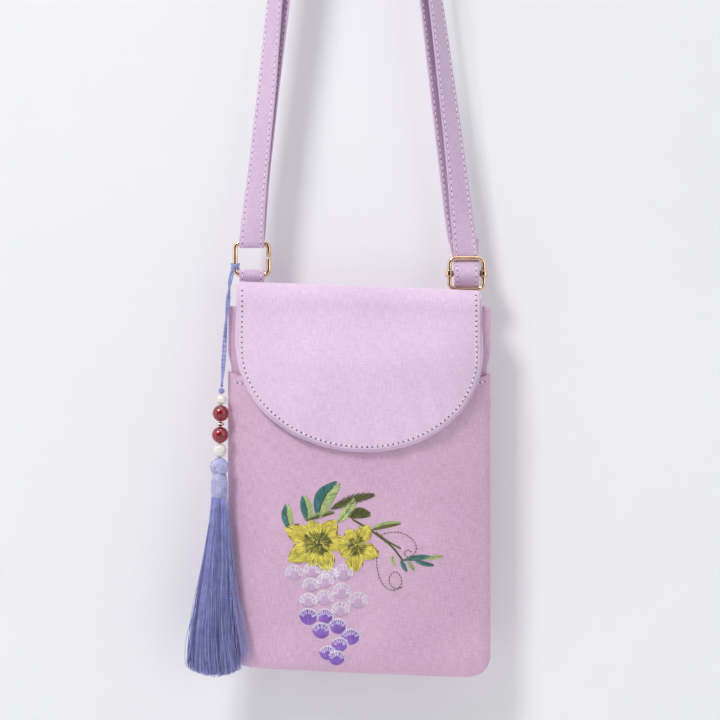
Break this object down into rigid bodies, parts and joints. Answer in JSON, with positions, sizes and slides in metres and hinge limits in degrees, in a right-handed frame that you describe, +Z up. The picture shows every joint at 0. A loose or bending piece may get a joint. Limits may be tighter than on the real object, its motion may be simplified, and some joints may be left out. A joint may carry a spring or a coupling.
{
  "type": "embroidered cloth phone pouch",
  "caption": "Flat hollow cloth pouch with a curved flap, embroidered front pocket, doubled shoulder strap on a ring and slider, and a bead and silk tassel charm, shown hanging.",
  "frame": {"origin": "inside of the strap's top, where it hangs over a peg", "axes": "+Z up along the hanging strap, the front with the flap faces -Y, +X to the right seen from the front"},
  "size_m": [0.1446, 0.027, 0.5071],
  "materials": {
    "lavender_cloth": "matte",
    "flap_cloth": "matte",
    "strap_cloth": "matte",
    "periwinkle_silk": "satin",
    "pale_gold": "polished",
    "pearl": "gloss",
    "red_bead": "gloss"
  },
  "bodies": {
    "root": {"pouch": "lavender_cloth", "front_pocket": "lavender_cloth", "flap": "flap_cloth", "ring_tab": "strap_cloth", "ring": "pale_gold", "strap": "strap_cloth", "slider_frame": "pale_gold", "slider_bar": "pale_gold", "cord_hitch": "periwinkle_silk", "charm_cord": "periwinkle_silk", "cord_knot": "periwinkle_silk", "bead_thread": "periwinkle_silk", "pearl_small": "pearl", "red_bead_upper": "red_bead", "spacer_bead": "pale_gold", "red_bead_lower": "red_bead", "pearl_large": "pearl", "tassel": "periwinkle_silk"}
  },
  "joints": []
}
